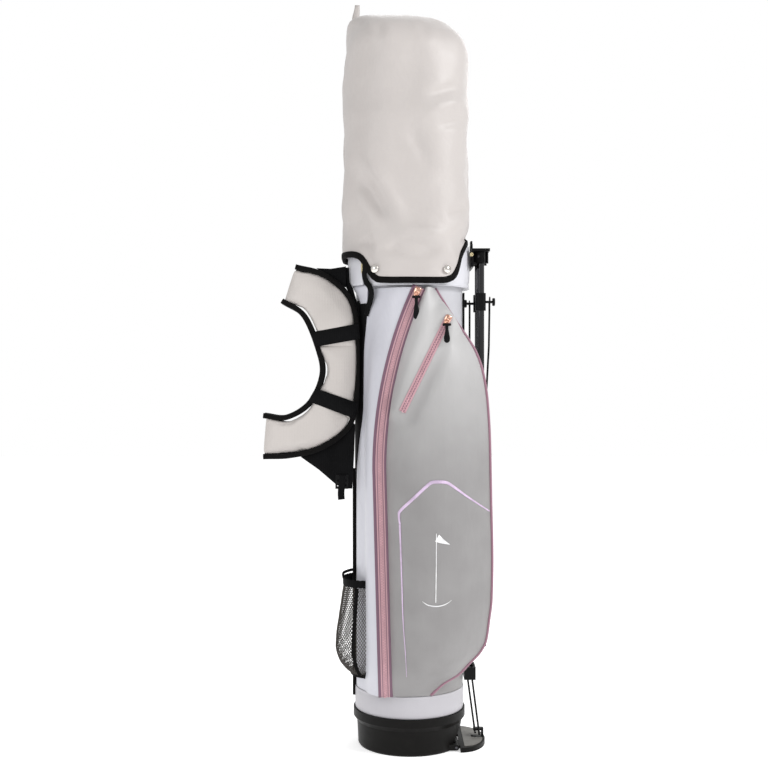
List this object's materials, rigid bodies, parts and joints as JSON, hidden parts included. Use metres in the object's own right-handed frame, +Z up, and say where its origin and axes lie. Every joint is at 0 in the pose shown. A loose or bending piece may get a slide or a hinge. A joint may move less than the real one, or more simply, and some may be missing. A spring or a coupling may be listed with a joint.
{
  "type": "golf club set",
  "caption": "Stand bag with a rain hood, folding legs worked by a foot plate, zipped pockets, padded harness and golf clubs inside.",
  "frame": {"origin": "middle of the base's underside, on the ground", "axes": "+Z up along the bag, +X towards the folding legs, -Y towards the large apparel pocket"},
  "size_m": [0.398, 0.2844, 1.288],
  "materials": {
    "base_plastic": "fine satin moulding",
    "foam": "closed-cell foam",
    "tube_fabric": "coated satin polyester",
    "band_fabric": "coated polyester",
    "cuff_fabric": "padded satin",
    "divider_plastic": "moulded",
    "panel_fabric": "plain lining",
    "stay_plastic": "moulded",
    "webbing": "woven webbing",
    "pocket_fabric": "satin ripstop",
    "piping": "corded piping",
    "zip_tape": "woven zipper tape",
    "slider_metal": "rose gold plated",
    "puller_rubber": "moulded",
    "net": "knitted net",
    "bracket_plastic": "moulded",
    "steel": "bright",
    "rod_steel": "black coated wire",
    "leg_alu": "black anodised",
    "rubber": "moulded tread",
    "tread": "ribbed",
    "hood_fabric": "satin rain fabric",
    "chrome": "polished",
    "pad_fabric": "brushed spacer fabric",
    "buckle_plastic": "moulded",
    "grip_rubber": "ribbed",
    "graphite": "lacquered graphite",
    "head_paint": "gloss lacquered composite",
    "putter_alu": "satin anodised",
    "head_steel": "satin"
  },
  "bodies": {
    "bag": {"base_cup": "base_plastic", "floor_pad": "foam", "bag_shell": "tube_fabric", "lower_band": "band_fabric", "collar_cuff": "cuff_fabric", "top_divider": "divider_plastic", "well_panels": "panel_fabric", "back_stay": "stay_plastic", "lift_handle": "webbing", "apparel_pocket": "pocket_fabric", "pocket_piping": "piping", "main_zip_tape": "zip_tape", "short_zip_tape": "zip_tape", "ball_pocket": "pocket_fabric", "ball_zip_tape": "zip_tape", "bottle_net": "net", "bottle_elastic": "webbing", "leg_bracket": "bracket_plastic", "hinge_pins": "steel", "rod_guide": "bracket_plastic"},
    "foot_plate": {"foot_plate": "base_plastic", "plate_tread": "tread", "plate_clip": "bracket_plastic"},
    "hood": {"hood_shell": "hood_fabric", "hood_binding": "webbing", "hood_snaps": "chrome", "hood_tab": "hood_fabric"},
    "harness": {"upper_pad": "pad_fabric", "middle_pads": "pad_fabric", "lower_pad": "pad_fabric", "cross_bands": "webbing", "harness_gussets": "webbing", "ladder_buckle": "buckle_plastic", "tail_strap": "webbing"},
    "near_leg": {"leg_tube_near": "leg_alu", "leg_fittings_near": "bracket_plastic", "leg_foot_near": "rubber"},
    "far_leg": {"leg_tube_far": "leg_alu", "leg_fittings_far": "bracket_plastic", "leg_foot_far": "rubber"},
    "near_rod": {"push_rod_near": "rod_steel"},
    "far_rod": {"push_rod_far": "rod_steel"},
    "main_slider": {"main_slider": "slider_metal"},
    "main_puller": {"main_puller": "puller_rubber"},
    "short_slider": {"short_slider": "slider_metal"},
    "short_puller": {"short_puller": "puller_rubber"},
    "ball_slider": {"ball_slider": "slider_metal"},
    "ball_puller": {"ball_puller": "puller_rubber"},
    "driver": {"driver_grip": "grip_rubber", "driver_shaft": "graphite", "driver_head": "head_paint"},
    "hybrid": {"hybrid_grip": "grip_rubber", "hybrid_shaft": "graphite", "hybrid_head": "head_paint"},
    "iron_7": {"iron_7_grip": "grip_rubber", "iron_7_shaft": "graphite", "iron_7_head": "head_steel"},
    "putter": {"putter_grip": "grip_rubber", "putter_shaft": "head_steel", "putter_head": "putter_alu"}
  },
  "joints": [
    {"name": "hood_lift", "type": "slide", "parent": "bag", "child": "hood", "axis": [0, 0, 1], "range_m": [0, 0.45]},
    {"name": "near_leg_swing", "type": "hinge", "parent": "bag", "child": "near_leg", "pos_m": [0.123, -0.022, 0.845], "axis": [-0.4226, -0.9063, 0], "range_deg": [0, 25]},
    {"name": "far_leg_swing", "type": "hinge", "parent": "bag", "child": "far_leg", "pos_m": [0.123, 0.022, 0.845], "axis": [0.4226, -0.9063, 0], "range_deg": [0, 25]},
    {"name": "near_rod_push", "type": "hinge", "parent": "bag", "child": "near_rod", "pos_m": [0.38, 0, 0.134], "axis": [0.4226, 0.9063, 0], "range_deg": [0, 2.88]},
    {"name": "far_rod_push", "type": "hinge", "parent": "bag", "child": "far_rod", "pos_m": [0.26, 0, 0.094], "axis": [-0.4226, 0.9063, 0], "range_deg": [0, 2.88]},
    {"name": "foot_plate_tilt", "type": "hinge", "parent": "bag", "child": "foot_plate", "pos_m": [0.079, 0, 0.007], "axis": [0, -1, 0], "range_deg": [0, 12.5]},
    {"name": "harness_swing", "type": "hinge", "parent": "bag", "child": "harness", "pos_m": [-0.108, -0.034, 0.65], "axis": [0, 0, 1], "range_deg": [-20, 11]},
    {"name": "main_slider_run", "type": "hinge", "parent": "bag", "child": "main_slider", "pos_m": [0.66905, -0.1075, 0.48353], "axis": [0, -1, 0], "range_deg": [0, 22.5]},
    {"name": "main_puller_flip", "type": "hinge", "parent": "main_slider", "child": "main_puller", "pos_m": [0.01098, -0.1124, 0.77828], "axis": [-0.9134, 0, 0.407], "range_deg": [0, 120]},
    {"name": "short_slider_run", "type": "slide", "parent": "bag", "child": "short_slider", "axis": [-0.4416, -0.0597, -0.8952], "range_m": [0, 0.15]},
    {"name": "short_puller_flip", "type": "hinge", "parent": "short_slider", "child": "short_puller", "pos_m": [0.06079, -0.1274, 0.7316], "axis": [-0.8968, 0, 0.4424], "range_deg": [0, 120]},
    {"name": "ball_slider_run", "type": "slide", "parent": "bag", "child": "ball_slider", "axis": [0, 0, -1], "range_m": [0, 0.2]},
    {"name": "ball_puller_flip", "type": "hinge", "parent": "ball_slider", "child": "ball_puller", "pos_m": [-0.034, 0.1319, 0.4074], "axis": [1, 0, 0], "range_deg": [0, 120]},
    {"name": "driver_draw", "type": "slide", "parent": "bag", "child": "driver", "axis": [0, 0, 1], "range_m": [0, 0.11]},
    {"name": "hybrid_draw", "type": "slide", "parent": "bag", "child": "hybrid", "axis": [0, 0, 1], "range_m": [0, 0.05]},
    {"name": "iron_7_draw", "type": "slide", "parent": "bag", "child": "iron_7", "axis": [0, 0, 1], "range_m": [0, 0.1]},
    {"name": "putter_draw", "type": "slide", "parent": "bag", "child": "putter", "axis": [0, 0, 1], "range_m": [0, 0.1]}
  ],
  "couplings": [
    {"joint": "far_leg_swing", "follows": "near_leg_swing", "ratio": 1},
    {"joint": "near_rod_push", "follows": "near_leg_swing", "ratio": 0.115},
    {"joint": "far_rod_push", "follows": "near_leg_swing", "ratio": 0.115},
    {"joint": "foot_plate_tilt", "follows": "near_leg_swing", "ratio": 0.5}
  ]
}
